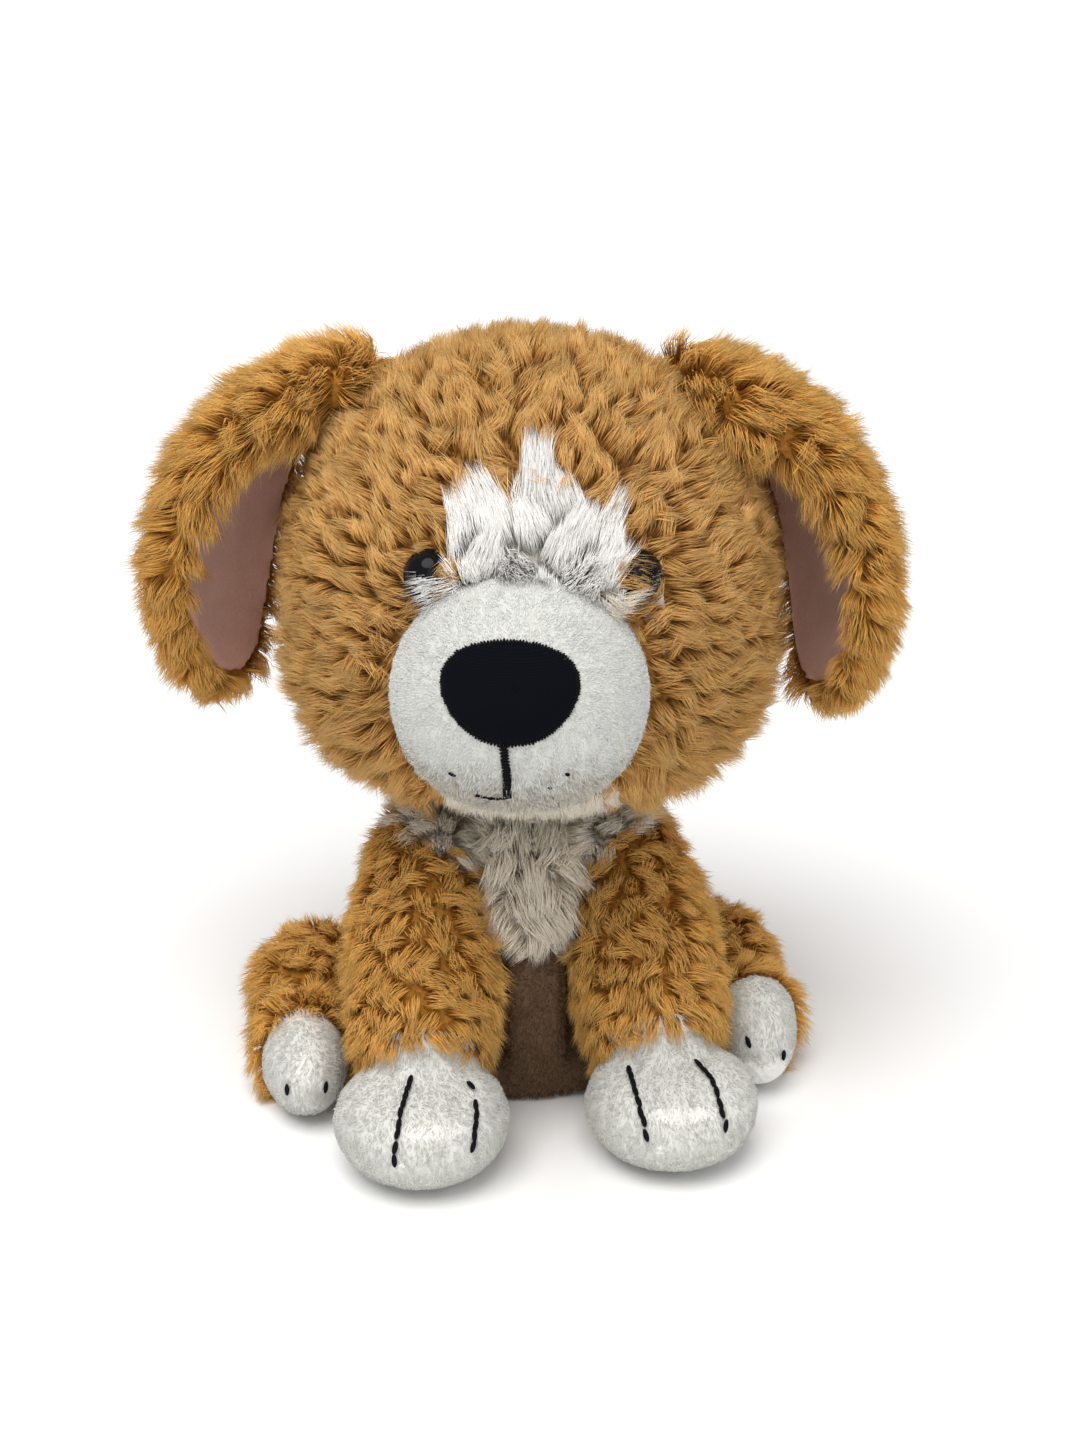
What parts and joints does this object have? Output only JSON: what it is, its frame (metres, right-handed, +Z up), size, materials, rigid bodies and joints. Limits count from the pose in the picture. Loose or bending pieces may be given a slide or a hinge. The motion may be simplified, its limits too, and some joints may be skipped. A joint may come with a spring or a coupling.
{
  "type": "plush dog",
  "caption": "Sitting plush dog with long brown fur, drooping ears, white muzzle, paws and brow panel, and soft sewn joints.",
  "frame": {"origin": "under the middle of the toy, on the surface it sits on", "axes": "+Z up, the dog looks along -Y, its own left side is +X"},
  "size_m": [0.1891, 0.1772, 0.2065],
  "materials": {
    "head_fur": "long tufted plush pile, tan",
    "body_fur": "long tufted plush pile, golden brown",
    "white_fur": "long loose plush pile, white",
    "cream_fur": "long loose plush pile, cream",
    "white_pile": "short plush pile, white",
    "taupe_pile": "short plush pile, dark taupe",
    "ear_velour": "short velour, dusty mauve",
    "nose_cloth": "napped cloth, near black",
    "black_thread": "embroidery thread, black",
    "eye_plastic": "polished black",
    "washer_plastic": "moulded, natural white",
    "filling": "loose polyester fibre",
    "pouch_cloth": "plain thin cloth",
    "pellets": "small round pellets",
    "label_tape": "plain folded tape"
  },
  "bodies": {
    "torso": {"torso_shell": "body_fur", "chest_bib": "cream_fur", "belly_panel": "taupe_pile", "base_panel": "taupe_pile", "torso_stuffing": "filling", "bean_pouch": "pouch_cloth", "bean_pellets": "pellets", "sewn_label": "label_tape"},
    "neck": {"neck_wad": "filling"},
    "head": {"head_shell": "head_fur", "forehead_blaze": "white_fur", "muzzle_shell": "white_pile", "nose": "nose_cloth", "mouth_stitching": "black_thread", "whisker_stitches": "black_thread", "head_stuffing": "filling", "muzzle_stuffing": "filling", "eye_left": "eye_plastic", "eye_right": "eye_plastic", "eye_washers": "washer_plastic"},
    "ear_left": {"ear_left_outer": "body_fur", "ear_left_lining": "ear_velour"},
    "ear_right": {"ear_right_outer": "body_fur", "ear_right_lining": "ear_velour"},
    "front_leg_left": {"front_leg_left_sleeve": "body_fur", "front_leg_left_stuffing": "filling", "front_paw_left": "white_pile", "front_toes_left": "black_thread"},
    "front_leg_right": {"front_leg_right_sleeve": "body_fur", "front_leg_right_stuffing": "filling", "front_paw_right": "white_pile", "front_toes_right": "black_thread"},
    "hind_leg_left": {"hind_leg_left_sleeve": "body_fur", "hind_leg_left_stuffing": "filling", "hind_paw_left": "white_pile", "hind_toes_left": "black_thread"},
    "hind_leg_right": {"hind_leg_right_sleeve": "body_fur", "hind_leg_right_stuffing": "filling", "hind_paw_right": "white_pile", "hind_toes_right": "black_thread"},
    "tail": {"tail_skin": "body_fur", "tail_stuffing": "filling"}
  },
  "joints": [
    {"name": "neck_turn", "type": "hinge", "parent": "torso", "child": "neck", "pos_m": [0.0033, 0.0083, 0.088], "axis": [0, 0, 1], "range_deg": [-30, 30], "stiffness_Nm_per_rad": 0.6},
    {"name": "head_nod", "type": "hinge", "parent": "neck", "child": "head", "pos_m": [0.0033, 0.0083, 0.088], "axis": [0.9848, -0.1736, 0], "range_deg": [-12, 7], "stiffness_Nm_per_rad": 1.2},
    {"name": "ear_left_lift", "type": "hinge", "parent": "head", "child": "ear_left", "pos_m": [0.04432, -0.00096, 0.194], "axis": [0.1392, -0.9903, 0], "range_deg": [-3, 70], "stiffness_Nm_per_rad": 0.12},
    {"name": "ear_right_lift", "type": "hinge", "parent": "head", "child": "ear_right", "pos_m": [-0.04235, 0.01432, 0.194], "axis": [0.4695, 0.8829, 0], "range_deg": [-3, 70], "stiffness_Nm_per_rad": 0.12},
    {"name": "front_leg_left_swing", "type": "hinge", "parent": "torso", "child": "front_leg_left", "pos_m": [0.0278, -0.0017, 0.062], "axis": [-1, 0, 0], "range_deg": [0, 25], "stiffness_Nm_per_rad": 0.15},
    {"name": "front_leg_right_swing", "type": "hinge", "parent": "torso", "child": "front_leg_right", "pos_m": [-0.0262, -0.0017, 0.062], "axis": [-1, 0, 0], "range_deg": [0, 25], "stiffness_Nm_per_rad": 0.15},
    {"name": "hind_leg_left_swing", "type": "hinge", "parent": "torso", "child": "hind_leg_left", "pos_m": [0.0568, 0.0163, 0.016], "axis": [-1, 0, 0], "range_deg": [0, 15], "stiffness_Nm_per_rad": 0.1},
    {"name": "hind_leg_right_swing", "type": "hinge", "parent": "torso", "child": "hind_leg_right", "pos_m": [-0.0552, 0.0163, 0.016], "axis": [-1, 0, 0], "range_deg": [0, 15], "stiffness_Nm_per_rad": 0.1},
    {"name": "tail_wag", "type": "hinge", "parent": "torso", "child": "tail", "pos_m": [0.0008, 0.0593, 0.022], "axis": [0, 0, 1], "range_deg": [-15, 15], "stiffness_Nm_per_rad": 0.03}
  ]
}
